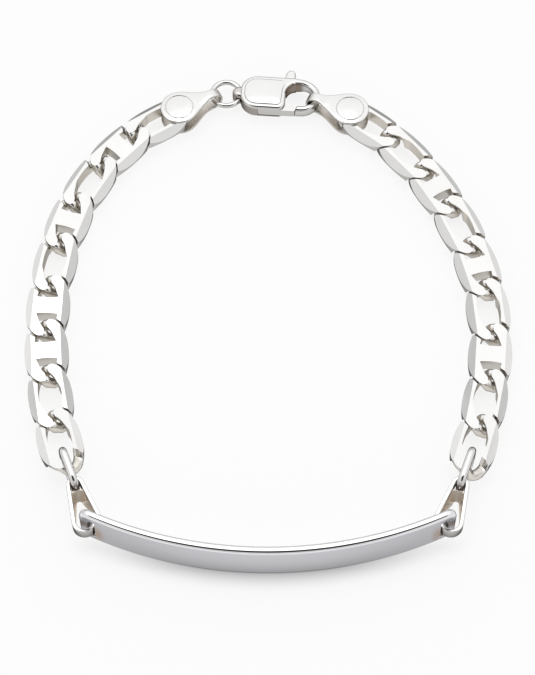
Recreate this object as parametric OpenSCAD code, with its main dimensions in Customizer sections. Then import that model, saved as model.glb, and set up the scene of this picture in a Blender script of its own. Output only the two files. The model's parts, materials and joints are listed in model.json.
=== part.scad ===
// Silver identity bracelet, closed and lying on a table. The curved name plate stands on
// its long edge at the front, the chain lies flat behind it and the clasp is at the back.
// Millimetres. The table is z = 0 and the origin is on it, at the middle of the outline.

/* [Name plate] */
// Length of the plate, measured along its curve
plate_len = 45.4; // [38:0.2:54]
// Height of the plate, from its lower long edge to its upper one
plate_h = 6; // [5.4:0.1:7.5]
// Thickness of the plate
plate_t = 1; // [0.7:0.05:1.1]
// Radius to which the outer face of the plate is bent
plate_bend = 50; // [42:1:80]
// Radius of the corners of the plate
plate_corner = 1.3; // [0.6:0.1:2]
// Small bevel along the long edges of the plate
plate_bevel = 0.15; // [0.05:0.01:0.2]
// Metal left between each slot and the end of the plate
slot_bar = 1.17; // [1:0.01:1.3]
// Height of the slots at the two ends of the plate
slot_h = 3.8; // [2.9:0.1:4]

/* [Bails] */
// Overall length of the loop of flat strip that hangs on each end of the plate
bail_len = 7.45; // [7:0.05:8.4]
// Width of the loop where it goes round the end of the plate
bail_wide = 2.96; // [2.8:0.02:3.2]
// How far behind the plate the strip turns after it has come through the slot
bail_back = 1.15; // [0.8:0.05:1.5]
// Radius of that turn
bail_turn = 0.75; // [0.6:0.05:0.9]
// Width of the loop where it holds the oval link
bail_narrow = 2.15; // [2.1:0.05:2.4]
// Thickness of the strip
strip_t = 0.5; // [0.4:0.05:0.5]
// Width of the strip, which stands upright
strip_w = 1.65; // [1.4:0.05:1.8]
// Thickness of the bridge that shuts off the eye for the oval link, at its top
bridge_t = 0.4; // [0.3:0.05:0.6]
// How much thicker the bridge is at its foot
bridge_foot = 0.6; // [0.3:0.05:0.8]
// How far the loop has sunk below the middle of the plate
bail_drop = 0.7; // [0.4:0.05:0.8]

/* [Oval links] */
// Thickness of the round wire
oval_wire = 0.95; // [0.8:0.05:1]
// Height of the opening, which stands upright
oval_open_h = 2.2; // [2.15:0.05:2.6]
// Length of the opening
oval_open_len = 3.85; // [3.6:0.05:4.6]
// Radius of the inner corners of the opening
oval_corner = 0.6; // [0.5:0.05:0.8]
// Play between the oval link and the first chain link
oval_play = 1.25; // [1:0.05:1.4]

/* [Chain] */
// Distance from one chain link to the next
link_pitch = 6.4; // [6.2:0.05:7]
// Overall width of a link
link_w = 5.45; // [5.3:0.05:5.8]
// Height of the chain between its two flat faces
chain_t = 2; // [1.8:0.05:2.1]
// Width of the wire along the sides of a link, seen from above
side_wire = 1.3; // [1.2:0.05:1.35]
// Width of the wire at the ends of a link
end_wire = 1.2; // [1.1:0.05:1.25]
// Width of the bevel cut along each outer side of a link
bevel_w = 0.9; // [0.6:0.05:1]
// Height of the upright band left outside the bevels
side_band = 0.3; // [0.2:0.05:0.6]
// Length of the flat bar across a barred link, along the chain
bar_len = 2.5; // [1.6:0.1:2.7]
// Free play between two links, along the chain
link_play = 0.25; // [0.2:0.05:0.4]
// Gap between two links where one crosses over the other
cross_gap = 0.2; // [0.15:0.05:0.3]

/* [End caps] */
// Width of the round head of a cap
cap_head = 4.9; // [4.6:0.1:5.4]
// Distance from the middle of the head to the tip of the fold
cap_len = 6.05; // [5.9:0.05:7]
// Width of the neck at the fold
cap_neck = 1.3; // [1:0.1:1.5]
// Height of a cap over its two leaves
cap_h = 2.9; // [2.85:0.05:3.2]
// Thickness of a leaf
leaf_t = 0.35; // [0.3:0.05:0.35]
// Width of the circle stamped in the head
stamp_d = 3.56; // [3:0.02:4]

/* [Jump ring] */
// Outside width of the ring
ring_w = 4.4; // [4:0.1:4.6]
// Thickness of its wire
ring_wire = 0.66; // [0.5:0.02:0.7]

/* [Clasp] */
// Length of the clasp from the eye in its tail to the end of its hook
clasp_len = 10.5; // [10:0.1:12]
// Width of the clasp
clasp_w = 5.1; // [5:0.1:5.8]
// Thickness of the body
clasp_t = 2.5; // [2.3:0.05:2.6]
// Thickness of the upper and of the lower wall of the body
clasp_wall = 0.55; // [0.45:0.05:0.6]
// Width of the opening in the hook
hook_open = 3.1; // [2.9:0.1:3.2]
// Length of the opening in the hook
hook_open_len = 3.55; // [3.4:0.05:3.8]
// Thickness of the round end of the hook
hook_t = 1.6; // [1.3:0.05:1.6]
// Width of the pin that the lever turns on
pin_d = 0.6; // [0.5:0.05:0.7]
// How far the lever's thumb nub stands out of the body
nub_out = 1.5; // [1:0.1:1.8]

/* [Hidden] */
$fn = 48;

// Clearances: between links, round the strip in its slot, round the post in the last link,
// round the jump ring in the clasp, round the pin, and between the lever and the body
rest_gap = 0.1;
slot_clear = 0.22;
post_clear = 0.12;
oval_rest = 0.38;
ring_clear = 0.12;
fold_clear = 0.38;
hook_clear = 0.34;
pin_clear = 0.06;
lever_clear = 0.05;
split_gap = 0.1;

// Route of the chain: how far each link leans towards the middle of the loop, in degrees,
// from the link next to the plate to the link next to the clasp
LEAN_LEFT = [-15.7, -10.4, -4.4, 2, 8.8, 17.4, 28.9, 43.1, 57.9];
LEAN_RIGHT = [-16.9, -12.2, -5.4, 4.3, 14.2, 22.5, 30.2, 40.8, 52.7];
BAIL_LEAN = -15;
OVAL_LEAN_LEFT = -21;
OVAL_LEAN_RIGHT = -20;
OVAL_SLIP = 0.24;
CAP_LEAN_LEFT = 63;
CAP_LEAN_RIGHT = 67.5;
// How much of the rise to the plate and to the clasp is left at each joint of the chain,
// from the plate to the clasp
RISE_PLATE = [1, 0.21, 0.04, 0, 0, 0, 0, 0, 0, 0];
RISE_CLASP = [0, 0, 0, 0, 0, 0, 0, 0.15, 0.7, 1];
// Which links carry a bar, in the same order
BAR_LEFT = [0, 0, 1, 1, 0, 1, 0, 1, 0];
BAR_RIGHT = [0, 0, 1, 0, 1, 0, 1, 0, 0];
LINKS = len(LEAN_LEFT);

// Turns a point about the origin
function turned(p, a) = [p[0]*cos(a) - p[1]*sin(a), p[0]*sin(a) + p[1]*cos(a)];

// Plate, slots and bails
plate_mid_r = plate_bend - plate_t/2;
plate_half_angle = plate_len/2/plate_mid_r*180/PI;
slot_w = strip_t + 2*slot_clear;
bail_seat = slot_bar + slot_w/2 - (bail_wide - strip_t)/2 + 0.04;
bail_z = plate_h/2 - bail_drop;
bail_run = bail_len - bail_wide/2 - bail_narrow/2;
oval_run = oval_open_len + oval_wire;
oval_bend_r = oval_corner + oval_wire/2;
strip_in_corner = max(0, strip_w/2 - (oval_open_h/2 - oval_corner));
corner_drop = oval_corner - sqrt(oval_corner*oval_corner - strip_in_corner*strip_in_corner);
oval_back = oval_wire/2 + corner_drop + rest_gap - (bail_narrow/2 - strip_t);
bridge_x = bail_run - oval_back - oval_wire/2 - rest_gap;
bail_seat_angle = plate_half_angle - bail_seat/plate_mid_r*180/PI;
bail_bend = turned([bail_back, bail_wide/2 - bail_turn], bail_seat_angle - BAIL_LEAN);

// Sizes of a link: its hole, and the oval that its outlines follow
hole_len = link_pitch + link_play;
hole_w = link_w - 2*side_wire;
link_len = hole_len + 2*end_wire;
link_bevel_from = link_w/2 - bevel_w;
OVAL_POWER = 2.25;
// Angles round the link at which its wire is drawn, for one quarter, and which of them
// have the wire at half height, where the next link crosses it
QUARTER = [13, 35, 58, 78];
CROSSES = [1, 1, 1, 0];
end_flat = 0.7;
end_drop = 0.175*chain_t;
under_drop = 0.05*chain_t;
bar_inset = 0.03;
bar_hollow = 0.15;
bar_bite = 0.08;

// Heights: the chain lies on the table, and is lifted at the plate and at the end caps
low_z = chain_t/2 + 0.01;
end_half_h = 0.3*chain_t;
plate_end_z = bail_z - oval_open_h/2 + end_half_h + oval_rest;
cap_z = cap_h/2;

// Clasp, measured from the eye in its tail
clasp_z = clasp_t/2;
hook_w = (clasp_w - hook_open)/2;
hook_x = clasp_len - clasp_w/2;
hook_bend_r = (clasp_w - hook_w)/2;
hole_x = hook_x - (hook_open_len - hook_open);
ring_bend_r = (ring_w - ring_wire)/2;
tail_corner = 2.2;
tail_w = 1.75;
tail_tip = 1.06;
tail_h = clasp_t - 0.3;
panel_corner = 1;
lever_h = clasp_t - 2*clasp_wall - 2*lever_clear;
heel_r = 1;
pivot = [tail_corner + 0.54, heel_r - clasp_w/2];
split_x = hook_x - 0.6;
split_slant = 0.42;
nub_w = 1.4;
nub_x = hook_x - 1.3;
// Lever and its room: how far the gate's root lies behind the hole's front edge, how deep the
// nub's root and its room reach into the body, and how far the hook's ends reach into it
gate_root = 0.45;
nub_root = 0.95;
room_depth = 1.15;
hook_key = 0.3;

// Small functions
function signed_power(x, n) = sign(x)*pow(abs(x), n);
function oval(half_l, half_w, a) =
    [half_l*signed_power(cos(a)/cos(QUARTER[0]), 2/OVAL_POWER),
     half_w*signed_power(sin(a)/sin(QUARTER[3]), 2/OVAL_POWER)];
function ahead(side, lean) = [-side*sin(lean), cos(lean)];
function heading(side, lean) = 90 + side*lean;
function total(points, n) = n == 0 ? [0, 0] : points[n - 1] + total(points, n - 1);
function lean(side, i, curl) = (side < 0 ? LEAN_LEFT[i] : LEAN_RIGHT[i]) + curl*(i + 1)/LINKS;
function oval_lean(side) = side < 0 ? OVAL_LEAN_LEFT : OVAL_LEAN_RIGHT;
function cap_lean(side, curl) = (side < 0 ? CAP_LEAN_LEFT : CAP_LEAN_RIGHT) + curl;

// Joints of the chain: height of joint i, and the level distance that link i covers
function joint_z(i) = low_z + RISE_PLATE[i]*(plate_end_z - low_z) + RISE_CLASP[i]*(cap_z - low_z);
function link_tilt(i) = asin((joint_z(i + 1) - joint_z(i))/link_pitch);
function link_run(i) = link_pitch*cos(link_tilt(i));

// Places seen from above, measured from the centre of the plate's bend
function bail_at(side) =
    plate_mid_r*[side*sin(bail_seat_angle), -cos(bail_seat_angle)];
function oval_at(side) = bail_at(side) + (bail_run - oval_back)*ahead(side, BAIL_LEAN);
function chain_start(side, curl) = oval_at(side) + oval_run*ahead(side, oval_lean(side))
    - (oval_wire/2 + oval_play + side*OVAL_SLIP - link_play/2)*ahead(side, lean(side, 0, curl));
function joint_at(side, i, curl) = chain_start(side, curl)
    + total([for (k = [0:LINKS - 1]) link_run(k)*ahead(side, lean(side, k, curl))], i);
function cap_reach(side) = cap_len - leaf_t
    - (side < 0 ? fold_clear + ring_wire/2 - ring_bend_r : hook_clear + hook_w/2 - hook_bend_r);
function clasp_end(side, curl) = joint_at(side, LINKS, curl)
    + cap_reach(side)*ahead(side, cap_lean(side, curl));

// The loop is closed by curling both halves of the chain a little more or less, until the
// two ends are as far apart as the jump ring and the hook of the clasp are
clasp_span = ring_bend_r + hook_x;
function spread(curl) = norm(clasp_end(1, curl) - clasp_end(-1, curl)) - clasp_span;
function solve(low, high, steps) =
    let (mid = (low + high)/2)
    steps == 0 ? mid : spread(mid) > 0 ? solve(mid, high, steps - 1) : solve(low, mid, steps - 1);
curl = solve(-40, 40, 30);
ring_at = clasp_end(-1, curl);
hook_at = clasp_end(1, curl);
clasp_turn = atan2(hook_at[1] - ring_at[1], hook_at[0] - ring_at[0]);
clasp_at = ring_at + turned([ring_bend_r, 0], clasp_turn);

// Middle of the outline, which becomes the origin
NUB = [[nub_x + nub_w/2, 0.1], [nub_x + 0.36*nub_w, 0.8*nub_out], [nub_x + 0.18*nub_w, nub_out],
    [nub_x - 0.18*nub_w, nub_out], [nub_x - 0.36*nub_w, 0.75*nub_out], [nub_x - nub_w/2, 0.05]];
OUTER = [for (q = [0:3], k = [0:3]) let (a = q % 2 == 0 ? QUARTER[k] : 90 - QUARTER[k])
    oval(link_len/2, link_w/2, 90*q + a)];
function side_reach(side) = max([for (i = [0:LINKS - 1], p = OUTER)
    side*(0.5*(joint_at(side, i, curl) + joint_at(side, i + 1, curl))
    + turned(p, heading(side, lean(side, i, curl))))[0]]);
middle_x = (side_reach(1) - side_reach(-1))/2;
back_y = max([for (p = NUB) (clasp_at + turned([p[0], clasp_w/2 + p[1]], clasp_turn))[1]]);
middle_y = (back_y - plate_bend)/2;

module place(p, z, turn) {
    translate([p[0] - middle_x, p[1] - middle_y, z]) rotate([0, 0, turn]) children();
}

// Two circles of different size joined by straight sides, which meet the circles a hair
// inside their tangents
module tapered(r1, r2, run) {
    a = acos((r1 - r2)/run);
    s1 = r1 - 0.01;
    s2 = r2 - 0.01;
    circle(r1);
    translate([run, 0]) circle(r2);
    polygon([[s1*cos(a), s1*sin(a)], [s1*cos(a), -s1*sin(a)],
        [run + s2*cos(a), -s2*sin(a)], [run + s2*cos(a), s2*sin(a)]]);
}

// Rectangle with its corners cut off
module bevelled(w, h, c) {
    polygon([for (s = [[1, -1], [1, 1], [-1, 1], [-1, -1]], k = [0, 1])
        [s[0]*(w/2 - (s[0]*s[1] < 0 ? 1 - k : k)*c), s[1]*(h/2 - (s[0]*s[1] < 0 ? k : 1 - k)*c)]]);
}

// Round section of the hook, as a ring of points
module hook_section() {
    polygon([for (a = [0:15:345]) [hook_w/2*cos(a), hook_t/2*sin(a)]]);
}

module id_plate() {
    color("silver") place([0, 0], 0, 0) difference() {
        rotate([0, 0, -90 - plate_half_angle]) rotate_extrude(angle = 2*plate_half_angle, $fn = 180)
            translate([plate_mid_r, plate_h/2]) bevelled(plate_t, plate_h, plate_bevel);
        for (side = [-1, 1]) rotate([0, 0, side*plate_half_angle]) translate([0, -plate_mid_r, 0])
            plate_end_cuts(side);
    }
}

// Rounds the corners at one end of the plate and cuts its slot
module plate_end_cuts(side) {
    for (up = [0, 1]) translate([0, 0, up*plate_h]) mirror([side < 0 ? 1 : 0, 0, 0])
        mirror([0, 0, up]) difference() {
            translate([-plate_corner, -plate_t, -1]) cube([plate_corner + 1, 2*plate_t, plate_corner + 1]);
            translate([-plate_corner, 0, plate_corner]) rotate([90, 0, 0])
                cylinder(r = plate_corner, h = 3*plate_t, center = true);
        }
    translate([-side*(slot_bar + slot_w/2), 0, plate_h/2]) {
        cube([slot_w, 3*plate_t, slot_h - slot_w], center = true);
        for (up = [-1, 1]) translate([0, 0, up*(slot_h - slot_w)/2]) rotate([90, 0, 0])
            cylinder(d = slot_w, h = 3*plate_t, center = true);
    }
}

// Outline of the bail's loop, drawn in by inset: round the plate's end, along to the narrow
// end and back to the turn behind the plate
module bail_outline(inset) {
    spots = [[0, 0], [bail_run, 0], bail_bend];
    radii = [bail_wide/2 - inset, bail_narrow/2 - inset, bail_turn - inset];
    for (i = [0:2]) translate(spots[i]) circle(radii[i]);
    polygon([for (i = [0:2]) let (j = (i + 1) % 3, way = spots[j] - spots[i],
            out = atan2(way[1], way[0]) - acos((radii[i] - radii[j])/norm(way)), n = [cos(out), sin(out)])
        each [spots[i] + (radii[i] - 0.01)*n, spots[j] + (radii[j] - 0.01)*n]]);
}

module bail(side) {
    color("silver") place(bail_at(side), bail_z, heading(side, BAIL_LEAN)) mirror([0, side < 0 ? 1 : 0, 0]) {
        linear_extrude(strip_w, center = true) difference() {
            bail_outline(0);
            bail_outline(strip_t);
        }
        intersection() {
            linear_extrude(strip_w, center = true) bail_outline(strip_t/2);
            rotate([90, 0, 0]) linear_extrude(2*bail_wide, center = true)
                polygon([[bridge_x, strip_w], [bridge_x, -strip_w],
                    [bridge_x - bridge_t - 1.5*bridge_foot, -strip_w], [bridge_x - bridge_t, strip_w/2],
                    [bridge_x - bridge_t, strip_w]]);
        }
    }
}

module oval_link(side) {
    long = oval_open_len - 2*oval_corner;
    short = oval_open_h - 2*oval_corner;
    color("silver") place(oval_at(side), bail_z, heading(side, oval_lean(side)))
        translate([oval_run/2, 0, 0]) rotate([90, 0, 0]) {
            for (e = [[1, 1, 0], [-1, 1, 90], [-1, -1, 180], [1, -1, 270]])
                translate([e[0]*long/2, e[1]*short/2, 0]) rotate([0, 0, e[2]])
                    rotate_extrude(angle = 90) translate([oval_bend_r, 0]) circle(d = oval_wire);
            for (s = [-1, 1]) {
                translate([0, s*(oval_open_h + oval_wire)/2, 0]) rotate([0, 90, 0])
                    cylinder(d = oval_wire, h = long, center = true);
                translate([s*oval_run/2, 0, 0]) rotate([90, 0, 0])
                    cylinder(d = oval_wire, h = short, center = true);
            }
        }
}

// One section of a link's wire, at quarter angle k of quarter q. The wire passes over the
// next link in two quarters and under it in the other two.
function link_section(q, k) =
    let (a = 90*q + (q % 2 == 0 ? QUARTER[k] : 90 - QUARTER[k]),
        inner = oval(hole_len/2, hole_w/2, a), outer = oval(link_len/2, link_w/2, a),
        up = q % 2 == 0 ? -1 : 1, top = chain_t/2,
        under = CROSSES[k] == 1 ? cross_gap/2 : -top,
        vi = abs(inner[1]), vo = abs(outer[1]),
        flat = min(end_flat, (link_bevel_from - vi)/(vo - vi)),
        slope = (top - side_band/2)/bevel_w,
        high = top - max(end_drop, slope*(vo - link_bevel_from)),
        low = CROSSES[k] == 1 ? min(high, under + under_drop) : -high,
        mid = inner + flat*(outer - inner),
        ring = [[inner, under], [inner, top], [mid, top], [outer, high], [outer, low], [mid, under]])
    [for (j = [0:5]) let (p = ring[up > 0 ? j : [1, 0, 5, 4, 3, 2][j]]) [p[0][0], p[0][1], up*p[1]]];

module link_wire() {
    rings = [for (q = [0:3], k = [0:3]) link_section(q, q % 2 == 0 ? k : 3 - k)];
    n = len(rings);
    polyhedron([for (r = rings, p = r) p],
        [for (i = [0:n - 1], j = [0:5]) let (a = 6*i, b = 6*((i + 1) % n), t = (j + 1) % 6)
            each [[a + j, b + j, b + t], [a + j, b + t, a + t]]], convexity = 6);
}

// Flat bar across the middle of a link, hollowed a little where the next link's end comes
module link_bar() {
    half_w = hole_w/2 + bar_bite;
    hollow_r = (half_w*half_w + bar_hollow*bar_hollow)/(2*bar_hollow);
    linear_extrude(chain_t - 2*bar_inset, center = true) difference() {
        square([bar_len, 2*half_w], center = true);
        for (end = [-1, 1]) translate([end*(bar_len/2 - bar_hollow + hollow_r), 0])
            circle(hollow_r, $fn = 96);
    }
}

module chain_link(side, i) {
    from = joint_at(side, i, curl);
    to = joint_at(side, i + 1, curl);
    barred = side < 0 ? BAR_LEFT[i] : BAR_RIGHT[i];
    color("silver") place((from + to)/2, (joint_z(i) + joint_z(i + 1))/2,
            heading(side, lean(side, i, curl)))
        rotate([0, -link_tilt(i), 0]) {
            link_wire();
            if (barred == 1) link_bar();
        }
}

// Strip of a cap, seen from the side: two leaves and the fold that joins them
module cap_fold(half_h, fold_x, back) {
    translate([-back, -half_h]) square([back + fold_x, 2*half_h]);
    translate([fold_x, 0]) circle(half_h);
}

module end_cap(side) {
    fold_x = cap_len - cap_h/2;
    neck_r = cap_neck/2;
    yaw = side*(lean(side, LINKS - 1, curl) - cap_lean(side, curl));
    color("silver") place(joint_at(side, LINKS, curl), cap_z, heading(side, cap_lean(side, curl))) {
        difference() {
            intersection() {
                rotate([90, 0, 0]) linear_extrude(2*cap_head, center = true) difference() {
                    cap_fold(cap_h/2, fold_x, cap_head);
                    cap_fold(cap_h/2 - leaf_t, fold_x, 2*cap_head);
                }
                linear_extrude(2*cap_h, center = true) {
                    tapered(cap_head/2, neck_r, fold_x - neck_r);
                    translate([fold_x - neck_r, -neck_r]) square([cap_len, cap_neck]);
                }
            }
            for (up = [-1, 1]) translate([0, 0, up*cap_h/2]) difference() {
                cylinder(d = stamp_d, h = 0.12, center = true);
                cylinder(d = stamp_d - 0.16, h = 1, center = true);
            }
        }
        linear_extrude(cap_h - leaf_t, center = true) intersection() {
            circle(cap_head/2 - 0.15);
            rotate([0, 0, yaw]) translate([-link_pitch/2, 0])
                polygon([for (a = [0:7.5:352.5]) oval(hole_len/2 - post_clear, hole_w/2 - post_clear, a)]);
        }
    }
}

module jump_ring() {
    color("silver") place(ring_at, clasp_z, 0)
        rotate_extrude() translate([ring_bend_r, 0]) circle(d = ring_wire);
}

// Outline of the two walls of the clasp's body, with its round panel and the far arm
module clasp_outline() {
    half = clasp_w/2;
    arm_end = hook_x;
    difference() {
        union() {
            for (s = [-1, 1]) translate([tail_corner, s*(half - tail_corner)]) circle(tail_corner);
            translate([0, tail_corner - half]) square([tail_corner, clasp_w - 2*tail_corner]);
            translate([tail_corner, -half]) square([hole_front() - panel_corner - tail_corner, clasp_w]);
            translate([hole_front() - panel_corner, panel_corner - half]) {
                circle(panel_corner);
                square([panel_corner, half]);
            }
            translate([tail_corner, 0]) square([arm_end - tail_corner, half]);
        }
        translate([hole_x, 0]) circle(hook_open/2);
        translate([hole_x, -hook_open/2]) square([hook_open, hook_open]);
    }
}
function hole_front() = hole_x - hook_open/2;

// Room for the lever between the two walls, over its whole travel
module lever_room() {
    half = clasp_w/2;
    nub_right = nub_x + nub_w/2 + lever_clear;
    translate(pivot) circle(heel_r + lever_clear);
    polygon([[pivot[0], -clasp_w], [hole_front() + gate_root, -clasp_w],
        [hole_front() + gate_root, half - room_depth - 0.5], [nub_right - 0.5, half - room_depth - 0.15],
        [nub_right, half - room_depth], [nub_right, clasp_w], [pivot[0] + 0.72*heel_r, clasp_w],
        [pivot[0] + 0.72*heel_r, half - lever_clear], [pivot[0] + 0.24*heel_r, pivot[1] + 2.5*heel_r],
        [pivot[0] - 0.14*heel_r, pivot[1] + 1.05*heel_r]]);
}

module clasp_body() {
    color("silver") place(clasp_at, clasp_z, clasp_turn) {
        difference() {
            union() {
                clasp_shell();
                tail();
            }
            translate([-ring_bend_r, 0, 0]) rotate_extrude()
                translate([ring_bend_r, 0]) circle(r = ring_wire/2 + ring_clear);
            linear_extrude(lever_h + 2*lever_clear, center = true) lever_room();
        }
        translate([pivot[0], pivot[1], 0]) cylinder(d = pin_d, h = clasp_t - clasp_wall, center = true);
        hook();
    }
}

// Body block; its far arm thins down to the hook
module clasp_shell() {
    intersection() {
        linear_extrude(clasp_t, center = true) clasp_outline();
        rotate([90, 0, 0]) linear_extrude(2*clasp_w, center = true)
            polygon([[-tail_tip, -clasp_t], [hook_x - hook_w, -clasp_t], [hook_x - hook_w, -clasp_t/2 - 0.1],
                [hook_x + hook_w/2, -hook_t/2], [hook_x + hook_w/2, hook_t/2],
                [hook_x - hook_w, clasp_t/2 + 0.1], [hook_x - hook_w, clasp_t], [-tail_tip, clasp_t]]);
    }
}

module tail() {
    linear_extrude(tail_h, center = true) {
        translate([tail_w/2 - tail_tip, 0]) circle(d = tail_w);
        translate([tail_w/2 - tail_tip, -tail_w/2]) square([tail_corner, tail_w]);
    }
}

// Round end of the hook, with its nose ending at the slanted split. A slightly thinner key
// joins the bend to the far arm and to the nose.
module hook() {
    for (s = [-1, 1]) translate([hook_x + 0.05, s*hook_bend_r, 0]) rotate([0, -90, 0]) rotate([0, 0, 90])
        linear_extrude(hook_key) scale([0.97, 0.97]) hook_section();
    translate([hook_x, 0, 0]) rotate([0, 0, -90]) rotate_extrude(angle = 180)
        translate([hook_bend_r, 0]) hook_section();
    intersection() {
        translate([hook_x, -hook_bend_r, 0]) rotate([0, -90, 0]) rotate([0, 0, 90])
            linear_extrude(2*hook_w) hook_section();
        linear_extrude(clasp_t, center = true) polygon([[split_x - split_slant, -clasp_w/2 - 1],
            [hook_x + 1, -clasp_w/2 - 1], [hook_x + 1, 0], [split_x + split_slant*clasp_w/2, 0]]);
    }
}

module clasp_lever() {
    half = clasp_w/2;
    tip_x = split_x - split_gap;
    outer_y = lever_clear - half;
    nub_right = nub_x + nub_w/2;
    color("silver") place(clasp_at, clasp_z, clasp_turn)
        linear_extrude(lever_h, center = true) difference() {
            union() {
                translate(pivot) circle(heel_r);
                polygon(concat([[pivot[0], outer_y], [tip_x, outer_y],
                        [tip_x + split_slant*(hook_w + 0.2), outer_y + hook_w + 0.2],
                        [hole_front() + gate_root + 0.15, -0.5], [hole_front() + gate_root - 0.05, 0.5],
                        [nub_right - nub_w/4, half - nub_root - 0.25], [nub_right, half - nub_root]],
                    [for (p = NUB) [p[0], half + p[1]]],
                    [[hole_front() - 0.85, half - nub_root + 0.05], [hole_front() - 1.85, half - nub_root - 1.1],
                        [pivot[0] + 0.46*heel_r, pivot[1] + 1.1*heel_r]]));
            }
            translate(pivot) circle(d = pin_d + 2*pin_clear);
            translate([hole_x, 0]) circle(hook_open/2 + lever_clear);
        }
}

id_plate();
bail(-1);  // bail_left
bail(1);  // bail_right
oval_link(-1);  // oval_link_left
oval_link(1);  // oval_link_right
chain_link(-1, 0);  // link_l9
chain_link(-1, 1);  // link_l8
chain_link(-1, 2);  // link_l7
chain_link(-1, 3);  // link_l6
chain_link(-1, 4);  // link_l5
chain_link(-1, 5);  // link_l4
chain_link(-1, 6);  // link_l3
chain_link(-1, 7);  // link_l2
chain_link(-1, 8);  // link_l1
chain_link(1, 0);  // link_r9
chain_link(1, 1);  // link_r8
chain_link(1, 2);  // link_r7
chain_link(1, 3);  // link_r6
chain_link(1, 4);  // link_r5
chain_link(1, 5);  // link_r4
chain_link(1, 6);  // link_r3
chain_link(1, 7);  // link_r2
chain_link(1, 8);  // link_r1
end_cap(-1);  // end_cap_left
end_cap(1);  // end_cap_right
jump_ring();
clasp_body();
clasp_lever();
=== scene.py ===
import json
import math

import bmesh
import bpy
import numpy as np
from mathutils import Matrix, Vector


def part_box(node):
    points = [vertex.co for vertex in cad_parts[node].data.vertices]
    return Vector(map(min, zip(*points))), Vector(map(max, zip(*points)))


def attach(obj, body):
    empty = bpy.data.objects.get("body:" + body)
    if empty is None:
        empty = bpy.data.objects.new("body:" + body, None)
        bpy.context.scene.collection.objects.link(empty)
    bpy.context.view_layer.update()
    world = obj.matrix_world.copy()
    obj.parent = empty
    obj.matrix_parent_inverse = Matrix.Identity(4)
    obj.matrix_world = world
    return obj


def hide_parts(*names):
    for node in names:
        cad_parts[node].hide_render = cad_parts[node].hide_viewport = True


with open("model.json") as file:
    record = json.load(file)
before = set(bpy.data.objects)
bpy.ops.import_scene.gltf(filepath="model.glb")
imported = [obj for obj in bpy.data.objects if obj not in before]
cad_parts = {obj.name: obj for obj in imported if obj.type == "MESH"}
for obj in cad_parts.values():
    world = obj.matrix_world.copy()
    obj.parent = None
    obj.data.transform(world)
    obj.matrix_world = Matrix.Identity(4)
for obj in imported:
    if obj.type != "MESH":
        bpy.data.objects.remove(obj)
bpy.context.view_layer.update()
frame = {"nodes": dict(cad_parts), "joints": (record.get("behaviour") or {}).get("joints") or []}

scene = bpy.context.scene

# Name plate
# The curved name plate: a strip of rolled sterling silver, bent to a shallow arc, with a slot
# punched near each end for the bails. Its outer face is blank and finely satined, its edges
# and its back are polished.
MM = 0.001
SHARP = math.radians(28)
PLATE_LEN, PLATE_H, PLATE_T, PLATE_BEND = 45.4, 6.0, 1.0, 50.0
PLATE_CORNER, PLATE_EDGE, PLATE_STEP = 1.3, 0.40, 0.4
SLOT_BAR, SLOT_W, SLOT_H = 1.17, 0.94, 3.8
SHADE_IN, SHADE_HALF_W, SHADE_Z, SHADE_HALF_H = 2.4, 0.9, 2.2, 2.6
WEAR, UNPOLISHED = 0.03, 0.4


def added(tree, kind, inputs=None, **settings):
    """A new node with its settings, and with each input set to a value or joined to an output."""
    node = tree.nodes.new(kind)
    for name, value in settings.items():
        setattr(node, name, value)
    for name, value in (inputs or {}).items():
        if isinstance(value, bpy.types.NodeSocket):
            tree.links.new(value, node.inputs[name])
        else:
            node.inputs[name].default_value = value
    return node


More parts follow.
